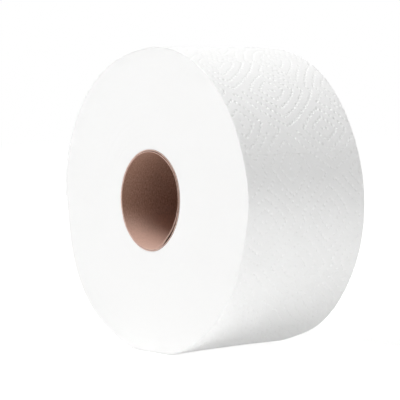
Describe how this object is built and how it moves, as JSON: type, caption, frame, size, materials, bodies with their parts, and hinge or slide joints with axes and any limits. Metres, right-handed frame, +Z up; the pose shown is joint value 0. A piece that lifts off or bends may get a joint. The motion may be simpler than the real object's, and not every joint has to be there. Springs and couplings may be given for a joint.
{
  "type": "toilet paper roll",
  "caption": "Wide embossed toilet paper roll wound on an open cardboard core, lying on a small flat spot.",
  "frame": {"origin": "middle of the core's bore, on the roll's axis at half its width", "axes": "+Y along the axis from the near end to the far end, +Z up from the flat spot, +X to the right seen from the near end"},
  "size_m": [0.19, 0.09, 0.1882],
  "materials": {
    "core_board": "matte brown board, paler and fibrous on its cut rims",
    "tissue": "matte white tissue, dotted with embossing on the rolling side"
  },
  "bodies": {
    "root": {"cardboard_core": "core_board", "wound_paper": "tissue"}
  },
  "joints": []
}
